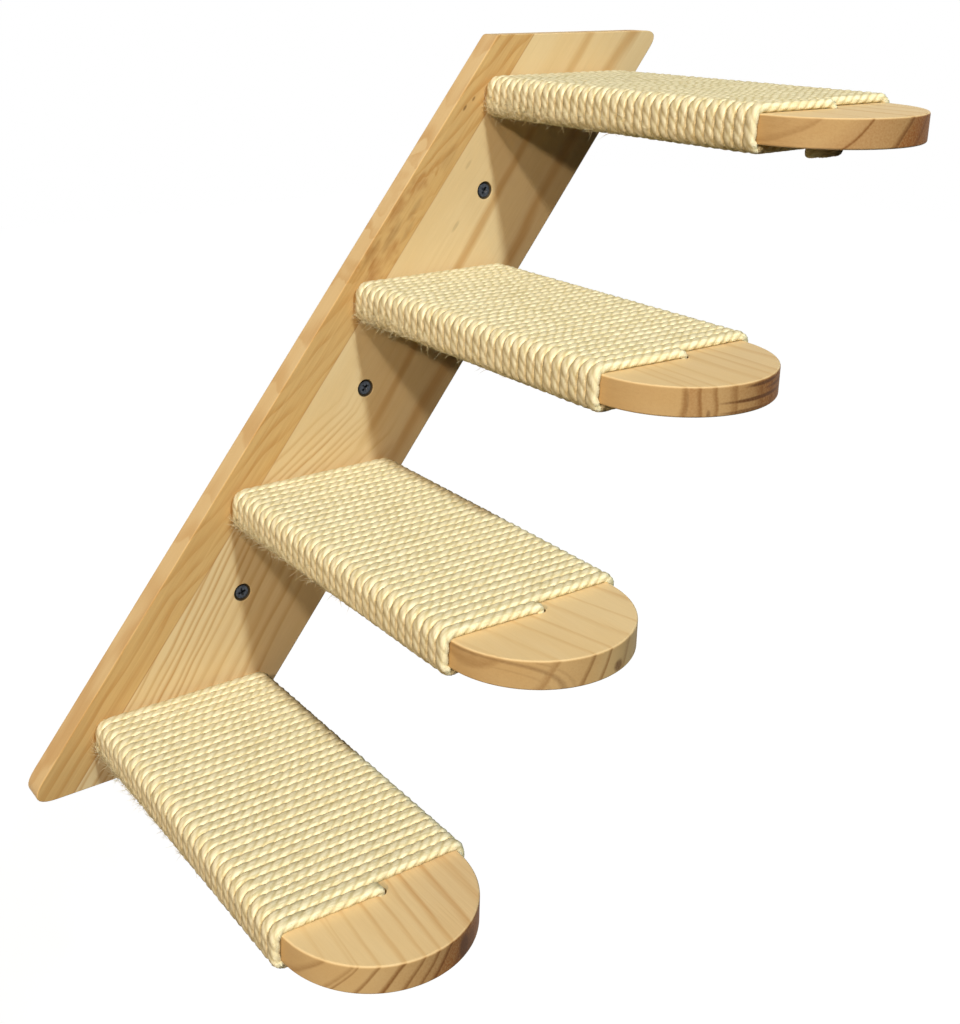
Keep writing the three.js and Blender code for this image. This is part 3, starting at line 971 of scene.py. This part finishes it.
def rope_material(rope):
    material, graph = new_material("sisal_rope")
    lay = graph.node("ShaderNodeAttribute", {"attribute_name": "lay_place"}, output="Vector")
    deep, wide, run = graph.parts(lay)
    crown = graph.node("ShaderNodeAttribute", {"attribute_name": "crown"}, output="Fac")
    hairs = graph.noise((deep * 7.0, wide * 7.0, run * 0.25), 3.0, 0.65)
    clumps = graph.noise((deep * 2.2, wide * 2.2, run * 0.07))
    along = graph.noise((run * 0.02, 0.0, 0.0))
    # Painted highlight: pale glints on the strands' crowns.
    glints = graph.noise((deep * 3.0, wide * 3.0, run * 0.16), 1.0)
    glints = graph.band(glints, 0.3, 0.65) * graph.band(crown, 0.35, 0.9)
    dark = graph.noise((deep * 5.0 + 40.0, wide * 5.0, run * 0.1), 2.0, 0.6)
    colour = graph.mix(graph.band(clumps, 0.35, 0.8, 0.0, 0.7), rope.straw, rope.pale)
    colour = graph.mix(graph.band(hairs, 0.56, 0.8, 0.0, 0.5), colour, rope.tan)
    # Painted shade: the deep colour between the strands, away from their crowns.
    colour = graph.mix(graph.band(crown, 0.0, 0.5, 0.26, 0.0), colour, rope.deep)
    colour = graph.mix(glints * 0.75, colour, rope.pale)
    speck = tuple(c * 0.45 for c in rope.deep)
    colour = graph.mix(graph.band(dark, 0.69, 0.76, 0.0, 0.7), colour, speck)
    # Painted light: the colour is made lighter towards the rope's sides, in the grooves between turns,
    # to lift their shade.
    painted_groove_light = graph.band(abs(wide), 0.5, 0.95, 0.97, 1.38)
    level = painted_groove_light * (0.98 + (along - 0.5) * 0.16 + (hairs - 0.5) * 0.3)
    surface(graph, {
        "Base Color": graph.scaled(colour, level),
        "Roughness": 0.85,
        "Normal": graph.bump(hairs, 0.3, 0.0004),
        "IOR": ROPE_IOR,
        "Specular IOR Level": ROPE_GLOSS,
    })
    return material


def fibre_material(rope):
    material, graph = new_material("sisal_fibres")
    shade = graph.noise(graph.coordinates(), 2.0, 0.6, scale=260.0)
    colour = graph.mix(graph.band(shade, 0.4, 0.62), rope.pale, rope.straw)
    colour = graph.mix(graph.band(shade, 0.62, 0.72), colour, rope.tan)
    surface(graph, {"Base Color": colour, "Roughness": 0.7, "IOR": ROPE_IOR})
    return material


# ---- Screws ----


def screw_profile(size):
    """The turned part of a screw, as (radius, distance from the head's top)."""
    under_head = SCREW_RIM + size["head"] - size["shank"]
    return [
        (0, 0), (size["head"] - 0.25, 0), (size["head"], 0.15), (size["head"], SCREW_RIM),
        (size["shank"], under_head), (size["shank"], size["plain"]), (size["core"], size["plain"]),
        (size["core"], size["length"] - size["tip"]), (0, size["length"]),
    ]


def cross_cutters(size):
    """The two arms of a cross recess that narrows as it goes in."""
    cutters = []
    for width, height in ((size["span"], size["arm"]), (size["arm"], size["span"])):
        rows = []
        for distance, share in ((-1.0, 1.12), (size["recess"], 0.45)):
            half_width = width / 2 * (share if width > height else 1.0)
            half_height = height / 2 * (share if height > width else 1.0)
            corners = ((-1, -1), (1, -1), (1, 1), (-1, 1))
            rows.append([(right * half_width, up * half_height, distance) for right, up in corners])
        cutters.append(skin_mesh("cross_cutter", rows))
    return cutters


def screw_thread(size):
    """A ridge wound along the core, as one closed band."""
    start, end = size["plain"] + 0.6, size["length"] - size["tip"] * 0.35
    count = int((end - start) / THREAD_PITCH * THREAD_STEPS)
    rows = []
    for i in range(count + 1):
        angle = math.tau * i / THREAD_STEPS
        middle = start + (end - start) * i / count
        tip_share = max(0.0, (middle - (size["length"] - size["tip"])) / size["tip"])
        core = size["core"] * (1 - tip_share) - 0.15
        crest = size["shank"] - (size["shank"] - core - 0.3) * min(1.0, tip_share * 1.1)
        if i in (0, count):
            crest = core + 0.05
        ridge = ((core, -0.45), (crest, -0.05), (crest, 0.05), (core, 0.45))
        rows.append([(r * math.cos(angle), r * math.sin(angle), middle + z) for r, z in ridge])
    return skin_mesh("screw_thread", rows)


def screw_mesh(size):
    """One screw along +Z, with the top of its head at the origin."""
    turned = turned_mesh("screw_body", screw_profile(size), steps=SCREW_STEPS)
    body = cut_mesh(turned, cross_cutters(size), SCREW_SHARP_ANGLE)
    return joined("screw", [body, screw_thread(size)])


def screw_tree():
    """A screw at each point, turned by a random angle about its own axis."""
    inputs = {"Screw": "Object", "Tilt": "Vector", "Seed": "Int"}
    tree, graph = new_geometry_tree("screws", inputs)
    given = graph.group_input
    space = {"transform_space": "ORIGINAL"}
    source = graph.node("GeometryNodeObjectInfo", space, {"Object": given("Screw")}, "Geometry")
    points = graph.node("GeometryNodeMeshToPoints", None, [given("Geometry")])
    sockets = {"Axis": (0.0, 0.0, 1.0), "Angle": graph.chance(0.0, math.tau, given("Seed"))}
    spin = graph.node("FunctionNodeAxisAngleToRotation", None, sockets)
    tilt = graph.node("FunctionNodeEulerToRotation", None, [given("Tilt")])
    sockets = {"Points": points, "Instance": source, "Rotation": graph.rotated(tilt, spin)}
    finish_tree(graph, graph.node("GeometryNodeInstanceOnPoints", None, sockets))
    return tree


def steel_material(name, colour, screws):
    material, graph = new_material(name)
    worn = graph.noise(graph.coordinates(), 3.0, 0.6, scale=900.0)
    tint = graph.mix(graph.band(worn, 0.35, 0.7), colour, tuple(c * 0.55 for c in colour))
    rough = graph.band(worn, 0.3, 0.7, screws.roughness - 0.08, screws.roughness + 0.15)
    surface(graph, {"Base Color": tint, "Metallic": 0.9, "Roughness": rough})
    return material


# ---- Settings ----


def colour_property(title, text, value):
    return bpy.props.FloatVectorProperty(
        name=title, description=text, default=value, size=3, min=0, max=1, subtype="COLOR"
    )


def number_property(title, text, value, low, high):
    return bpy.props.FloatProperty(name=title, description=text, default=value, min=low, max=high)


def length_property(title, text, value, low, high):
    return bpy.props.FloatProperty(
        name=title, description=text, default=value, min=low, max=high, unit="LENGTH"
    )


def count_property(title, text, value, high):
    return bpy.props.IntProperty(name=title, description=text, default=value, min=0, max=high)


class WoodSettings(bpy.types.PropertyGroup):
    """Colours and finish of the pine boards."""

    early: colour_property("Early wood", "Colour between the growth lines", linear(221, 195, 146))
    late: colour_property("Late wood", "Colour of the growth lines", linear(184, 137, 76))
    warm: colour_property("Warm patches", "Colour of the broad clouds", linear(214, 182, 128))
    # The stain colour: the left stave's real stain, and painted shade on the steps' noses.
    stain_and_shade: colour_property("Stain", "Colour of dark staves and stained ends", linear(152, 95, 44))
    dark: colour_property("Dark marks", "Colour of knots and cracks", linear(92, 56, 28))
    end: colour_property("End grain tint", "Multiplies the colour of cut ends", (0.79, 0.71, 0.6))
    streaks: number_property("Streaks", "Strength of the soft streaks", 0.7, 0, 2)
    roughness: number_property("Roughness", "Of the matt finish", 0.55, 0.1, 1)


class RopeSettings(bpy.types.PropertyGroup):
    """Sizes and colours of the sisal rope."""

    lay: length_property("Lay length", "Rope taken up by one turn of a strand", 0.0186, 0.01, 0.04)
    strand_radius: length_property("Strand radius", "Of each of three strands", 0.002, 0.0005, 0.003)
    strand_offset: length_property(
        "Strand offset", "From the rope's middle to that of a strand", 0.0005, 0.0002, 0.002
    )
    wander: length_property("Wander", "How far the turns stray sideways", 0.0005, 0, 0.002)
    corner: length_property(
        "Corner radius", "Of the rope's centre line over an arris", 0.0053, 0.003, 0.009
    )
    straw: colour_property("Straw", "Main colour", linear(204, 190, 144))
    # Pale is also the colour of the painted highlight on the strands' crowns.
    pale: colour_property("Pale", "Colour of the bleached fibres", linear(234, 224, 189))
    tan: colour_property("Tan", "Colour of the darker fibres", linear(190, 163, 108))
    # Deep is painted shade between the strands; scaled down, it also colours the dark specks.
    deep: colour_property("Deep", "Colour between the strands", linear(172, 146, 94))
    fibres: count_property("Fibres", "Loose fibres for each step", 2600, 5000)
    fringe: count_property("Fringe", "Fibres that hang at a step's lower edge", 1500, 3000)


class ScrewSettings(bpy.types.PropertyGroup):
    """Finish of the screws."""

    wall_colour: colour_property("Wall screws", "Colour of their steel", linear(76, 80, 86))
    step_colour: colour_property("Step screws", "Colour of their plating", linear(186, 184, 172))
    roughness: number_property("Roughness", "Of the steel", 0.35, 0.05, 1)


class StudioSettings(bpy.types.PropertyGroup):
    """Light and floor."""

    level: number_property("Light level", "At 1 a colour renders about as written", 0.82, 0.1, 3)
    lamp_size: length_property("Lamp size", "Diameter of a lamp at its usual distance", 0.17, 0.02, 2)
    ambient: number_property("Ambient", "Light from all round", 0.004, 0, 1)
    floor_height: length_property("Floor height", "From the lowest step's middle", -2.0, -3, -0.1)


# ---- Operators ----


class STAIR_OT_camera(bpy.types.Operator):
    """Set up the camera at the photograph's angle"""

    bl_idname = "stair.camera"
    bl_label = "Camera"

    def execute(self, context):
        data = bpy.data.cameras.new("stair_camera")
        data.sensor_fit = "HORIZONTAL"
        data.sensor_width = SENSOR_WIDTH
        data.lens = FOCAL_PIXELS * SENSOR_WIDTH / PHOTO_WIDTH
        data.shift_x = (PHOTO_CENTRE[0] - PRINCIPAL_POINT[0]) / PHOTO_WIDTH
        data.shift_y = (PRINCIPAL_POINT[1] - PHOTO_CENTRE[1]) / PHOTO_WIDTH
        data.clip_start = 0.01
        data.clip_end = 100
        camera = add_object("stair_camera", data)
        right, down, forward = Vector(CAMERA_RIGHT), Vector(CAMERA_DOWN), Vector(CAMERA_FORWARD)
        turn = Matrix((right, -down, -forward)).transposed().to_4x4()
        camera.matrix_world = Matrix.Translation(Vector(CAMERA_PLACE) * MM) @ turn
        context.scene.camera = camera
        return {"FINISHED"}


def countersink_cutter(screw, mouth, place, axis):
    """Cuts a countersunk hole through the backboard, from a place on its face."""
    radius, through = screw["shank"] + SEAT_GAP, BOARD_THICKNESS + 1
    profile = [(0, -1), (mouth + 1, -1), (radius, mouth - radius), (radius, through), (0, through)]
    return turned_mesh("cutter", profile, place, axis)


class STAIR_OT_backboard(bpy.types.Operator):
    """Make the leaning backboard with its countersunk holes"""

    bl_idname = "stair.backboard"
    bl_label = "Backboard"

    def execute(self, context):
        half, bottom, top = BOARD_LEVEL_WIDTH / 2, -BOARD_DROP, BOARD_HEIGHT - BOARD_DROP
        corners = [
            Vector((board_centre_at(height) + side * half, height))
            for side, height in ((-1, bottom), (1, bottom), (1, top), (-1, top))
        ]
        sharp, blunt = BOARD_SHARP_CORNER_CUT, BOARD_BLUNT_CORNER_CUT
        outline = rounded_outline(corners, [BOARD_LOW_CORNER_CUT, blunt, sharp, blunt])
        body = board_mesh(outline, BOARD_THICKNESS, BOARD_ARRIS, lambda x, y, h: (x, -h, y))
        kinds = (
            (WALL_SCREW, WALL_SCREW_MOUTH_RADIUS, wall_screw_places(), -BOARD_THICKNESS, 1),
            (STEP_SCREW, STEP_SCREW_MOUTH_RADIUS, step_screw_places(), 0, -1),
        )
        cutters = [
            countersink_cutter(screw, mouth, (place.x, face, place.z), (0, way, 0))
            for screw, mouth, places, face, way in kinds
            for place in places
        ]
        mesh = cut_mesh(body, cutters, WOOD_SHARP_ANGLE)
        material = backboard_wood(context.scene.stair_wood)
        add_piece("backboard_wood", mesh, ["backboard"], material)
        return {"FINISHED"}


class STAIR_OT_steps(bpy.types.Operator):
    """Make the four round-nosed step boards"""

    bl_idname = "stair.steps"
    bl_label = "Steps"

    def execute(self, context):
        half = STEP_WIDTH / 2
        outline = [Vector((half, -SEAT_GAP)), Vector((-half, -SEAT_GAP))]
        for k in range(NOSE_STEPS + 1):
            angle = math.pi + math.pi * k / NOSE_STEPS
            nose = -STEP_STRAIGHT + STEP_NOSE * math.sin(angle)
            outline.append(Vector((half * math.cos(angle), nose)))
        for index, place in enumerate(step_places()):
            body = board_mesh(
                outline, STEP_THICKNESS, STEP_ARRIS,
                lambda x, y, h: (place.x + x, place.y + y, place.z + h - STEP_THICKNESS / 2),
            )
            mesh = cut_mesh(body, self.cutters(place), WOOD_SHARP_ANGLE)
            material = step_wood(index, context.scene.stair_wood)
            name = f"step_board_{index + 1}"
            add_piece(f"step_wood_{index + 1}", mesh, [name], material)
        return {"FINISHED"}

    @staticmethod
    def cutters(place):
        """The hole for the rope's end, with eased edges, and the step screws' pilot holes."""
        wide, beyond = END_HOLE_RADIUS + END_HOLE_LIP, STEP_THICKNESS / 2 + 1.5
        narrow, within = END_HOLE_RADIUS, STEP_THICKNESS / 2 - 0.4
        profile = [(0, -beyond), (wide, -beyond), (narrow, -within), (narrow, within),
                   (wide, beyond), (0, beyond)]
        hole = (place.x + END_HOLE_SHIFT, place.y - END_HOLE_DISTANCE, place.z)
        cutters = [turned_mesh("cutter", profile, hole)]
        radius = STEP_SCREW["shank"] + SEAT_GAP
        profile = [(0, 0), (radius, 0), (radius, PILOT_DEPTH), (0, PILOT_DEPTH)]
        for side in (-1, 1):
            pilot = (place.x + side * STEP_SCREW_SPACING / 2, place.y + 1, place.z)
            cutters.append(turned_mesh("cutter", profile, pilot, (0, -1, 0)))
        return cutters


class STAIR_OT_rope(bpy.types.Operator):
    """Wind the sisal rope round each step"""

    bl_idname = "stair.rope"
    bl_label = "Rope"

    def execute(self, context):
        rope = context.scene.stair_rope
        material, hair_material = rope_material(rope), fibre_material(rope)
        tree, hair_tree = rope_tree(), fibre_tree()
        route = winding_points(rope.corner / MM) + tail_points()
        for index, place in enumerate(step_places()):
            line = add_object("rope_route", route_mesh(route, place))
            mesh = grow(line, tree, {
                "Lay Length": rope.lay,
                "Strand Radius": rope.strand_radius,
                "Strand Offset": rope.strand_offset,
                "Half Height": ROPE_HALF_HEIGHT,
                "Half Width": ROPE_HALF_WIDTH,
                "Inner Face": ROPE_INNER_FACE,
                "Wander": rope.wander,
                "Seed": ROPE_SEED_STEP * index,
                "Finish": material,
            })
            drop_object(line)
            self.add_fibres(index, mesh, place, hair_tree, hair_material, rope)
            for name in ROPE_HELPERS:
                mesh.attributes.remove(mesh.attributes[name])
            add_piece(f"rope_{index + 1}", mesh, [f"rope_wrap_{index + 1}"], material)
        return {"FINISHED"}

    @staticmethod
    def fibre_weights(mesh, place):
        """How hairy each point of a rope is with short fibres, and with hanging ones."""
        count = len(mesh.vertices)
        lay, spots = numpy.empty(count * 3), numpy.empty(count * 3)
        mesh.attributes["lay_place"].data.foreach_get("vector", lay)
        mesh.vertices.foreach_get("co", spots)
        outer = lay.reshape(-1, 3)[:, 0] > 0.1
        here = spots.reshape(-1, 3) / MM - numpy.array(place)
        beside = numpy.clip((-here[:, 0] - STEP_WIDTH / 2 + FRINGE_INSET) / FRINGE_WIDTH, 0, 1)
        below = numpy.clip((-here[:, 2] - FRINGE_INSET) / FRINGE_DROP, 0, 1)
        near = numpy.clip(1.0 + here[:, 1] / FRINGE_REACH, 0, 1) ** 1.5
        return outer, outer * beside * below * near

    @classmethod
    def add_fibres(cls, index, mesh, place, tree, material, rope):
        """Grows the fibres on a rope: short ones all over its outside, longer ones that hang."""
        short, hanging = cls.fibre_weights(mesh, place)
        area = STEP_STRAIGHT * 2 * (STEP_WIDTH + STEP_THICKNESS) * ROPE_BULGE * MM * MM
        kinds = [
            (short, {"Density": rope.fibres / area, **SHORT_FIBRES}),
            (hanging, {"Density": rope.fringe / FRINGE_AREA, **HANGING_FIBRES}),
        ]
        mesh.attributes.new("hairy", "FLOAT", "POINT")
        grown = []
        for weight, values in kinds:
            mesh.attributes["hairy"].data.foreach_set("value", weight.astype(numpy.float32))
            source = add_object("fibre_source", mesh.copy())
            values = {**values, "Seed": FIBRE_SEED + index, "Finish": material}
            grown.append(grow(source, tree, values))
            drop_object(source)
        hairs = joined("fibres", grown)
        for name in (*ROPE_HELPERS, "lay_place", "crown"):
            if name in hairs.attributes:
                hairs.attributes.remove(hairs.attributes[name])
        add_piece(f"rope_fibres_{index + 1}", hairs, [], material)


class STAIR_OT_screws(bpy.types.Operator):
    """Put the wall screws and the step screws in their holes"""

    bl_idname = "stair.screws"
    bl_label = "Screws"

    def execute(self, context):
        screws = context.scene.stair_screws
        tree = screw_tree()
        quarter = math.pi / 2
        wall_nodes = [f"wall_screw_{k}" for k in (1, 2, 3)]
        step_nodes = [f"step_screw_{k}_{side}" for k in (1, 2, 3, 4) for side in ("left", "right")]
        groups = [
            ("wall_screw", WALL_SCREW, wall_screw_places(), -quarter, screws.wall_colour, wall_nodes),
            ("step_screw", STEP_SCREW, step_screw_places(), quarter, screws.step_colour, step_nodes),
        ]
        for slot, size, places, tilt, colour, nodes in groups:
            material = steel_material(f"{slot}_steel", colour, screws)
            screw = add_object("screw", screw_mesh(size))
            points = bpy.data.meshes.new("screw_points")
            points.from_pydata([place * MM for place in places], [], [])
            holder = add_object("screw_points", points)
            tilt = (tilt, 0.0, 0.0)
            values = {"Screw": screw, "Tilt": tilt, "Seed": SCREW_SEED, "Finish": material}
            mesh = grow(holder, tree, values)
            drop_object(holder)
            drop_object(screw)
            add_piece(f"{slot}s", mesh, nodes, material)
        return {"FINISHED"}


LAMP_AIM = Vector((0.12, -0.08, 0.18))
LAMP_DISTANCE = 2.7
LAMPS = [
    ("lamp_front", (-0.20, -2.45, 2.35), (0.52, 0.60, 0.65)),
    ("lamp_left", (-1.50, -2.10, 2.40), (0.235, 0.21, 0.185)),
    ("lamp_far_left", (-3.50, -1.50, 2.40), (0.245, 0.20, 0.16)),
]
AMBIENT_TINT = (1.0, 0.85, 0.68)
WHITE = (1.0, 1.0, 1.0)
FLOOR_REACH = 12.0
FLOOR_GLOW = (2.5, 5.0, 0.94, 1.0)  # near, far, and its strength there
FLOOR_SHADE = (0.3, 0.3, 0.3)
UNSEEN_FLOOR_SHADE = (0.02, 0.02, 0.02)


class STAIR_OT_stage(bpy.types.Operator):
    """Set up the lamps, the pale surroundings and the floor"""

    bl_idname = "stair.stage"
    bl_label = "Stage"

    def execute(self, context):
        studio = context.scene.stair_studio
        context.scene.view_settings.view_transform = "Standard"
        for name, place, share in LAMPS:
            self.add_lamp(name, Vector(place), share, studio)
        self.make_world(context, studio)
        self.make_floor(studio)
        return {"FINISHED"}

    @staticmethod
    def add_lamp(name, place, share, studio):
        """A lamp that gives the backboard its share of the light, as red, green and blue."""
        data = bpy.data.lights.new(name, "AREA")
        data.shape = "DISK"
        reach = (place - LAMP_AIM).length
        data.size = studio.lamp_size * reach / LAMP_DISTANCE
        facing = (place - LAMP_AIM).normalized().dot(Vector((0, -1, 0)))
        data.energy = math.pi**2 * reach**2 * max(share) * studio.level / facing
        data.color = [channel / max(share) for channel in share]
        turn = (LAMP_AIM - place).to_track_quat("-Z", "Y")
        add_object(name, data).matrix_world = Matrix.LocRotScale(place, turn, None)

    @staticmethod
    def seen_directly(graph):
        """1 for rays from the camera, from a mirror and through glass."""
        path = graph.node("ShaderNodeLightPath")
        seen = path + path.other("Is Glossy Ray") + path.other("Is Transmission Ray")
        return seen.clamped()

    def make_world(self, context, studio):
        world = bpy.data.worlds.new("stair_world")
        context.scene.world = world
        world.use_nodes = True
        world.node_tree.nodes.clear()
        graph = Graph(world.node_tree)
        soft = tuple(channel * studio.ambient for channel in AMBIENT_TINT)
        colour = graph.mix(self.seen_directly(graph), soft, WHITE)
        background = graph.node("ShaderNodeBackground", None, {"Color": colour, "Strength": 1.0})
        graph.node("ShaderNodeOutputWorld", None, {"Surface": background})

    def make_floor(self, studio):
        """A floor that looks white, keeps shadows and hardly lights the stair from below."""
        mesh = bpy.data.meshes.new("stair_floor")
        corners = [(-1, -1), (1, -1), (1, 1), (-1, 1)]
        places = [(x * FLOOR_REACH, y * FLOOR_REACH, studio.floor_height) for x, y in corners]
        mesh.from_pydata(places, [], [(0, 1, 2, 3)])
        material, graph = new_material("pale_floor")
        glow = graph.band(graph.length(graph.coordinates()), *FLOOR_GLOW)
        colour = graph.mix(glow, (0.0, 0.0, 0.0), WHITE)
        white = graph.node("ShaderNodeEmission", None, {"Color": colour, "Strength": 1.0})
        shown = graph.node("ShaderNodeBsdfDiffuse", None, {"Color": FLOOR_SHADE})
        unseen = graph.node("ShaderNodeBsdfDiffuse", None, {"Color": UNSEEN_FLOOR_SHADE})
        both = graph.node("ShaderNodeAddShader", None, [shown, white])
        mixed = graph.node("ShaderNodeMixShader", None, [self.seen_directly(graph), unseen, both])
        graph.node("ShaderNodeOutputMaterial", None, {"Surface": mixed})
        mesh.materials.append(material)
        add_object("stair_floor", mesh)


class STAIR_PT_panel(bpy.types.Panel):
    """Lists the stair's settings and operators"""

    bl_idname = "STAIR_PT_panel"
    bl_label = "Climbing Stair"
    bl_space_type = "VIEW_3D"
    bl_region_type = "UI"
    bl_category = "Climbing Stair"

    def draw(self, context):
        for group in SETTINGS:
            box = self.layout.box()
            settings = getattr(context.scene, group)
            for name in settings.__annotations__:
                box.prop(settings, name)
        for operator in OPERATORS:
            self.layout.operator(operator.bl_idname)


SETTINGS = {
    "stair_wood": WoodSettings,
    "stair_rope": RopeSettings,
    "stair_screws": ScrewSettings,
    "stair_studio": StudioSettings,
}
OPERATORS = (
    STAIR_OT_camera,
    STAIR_OT_stage,
    STAIR_OT_backboard,
    STAIR_OT_steps,
    STAIR_OT_rope,
    STAIR_OT_screws,
)


def register():
    for made in (*SETTINGS.values(), *OPERATORS, STAIR_PT_panel):
        bpy.utils.register_class(made)
    for name, group in SETTINGS.items():
        setattr(bpy.types.Scene, name, bpy.props.PointerProperty(type=group))


def unregister():
    for name in SETTINGS:
        delattr(bpy.types.Scene, name)
    for made in reversed((*SETTINGS.values(), *OPERATORS, STAIR_PT_panel)):
        bpy.utils.unregister_class(made)


def main():
    register()
    bpy.ops.stair.camera()
    bpy.ops.stair.stage()
    bpy.ops.stair.backboard()
    bpy.ops.stair.steps()
    bpy.ops.stair.rope()
    bpy.ops.stair.screws()


if __name__ == "__main__":
    main()
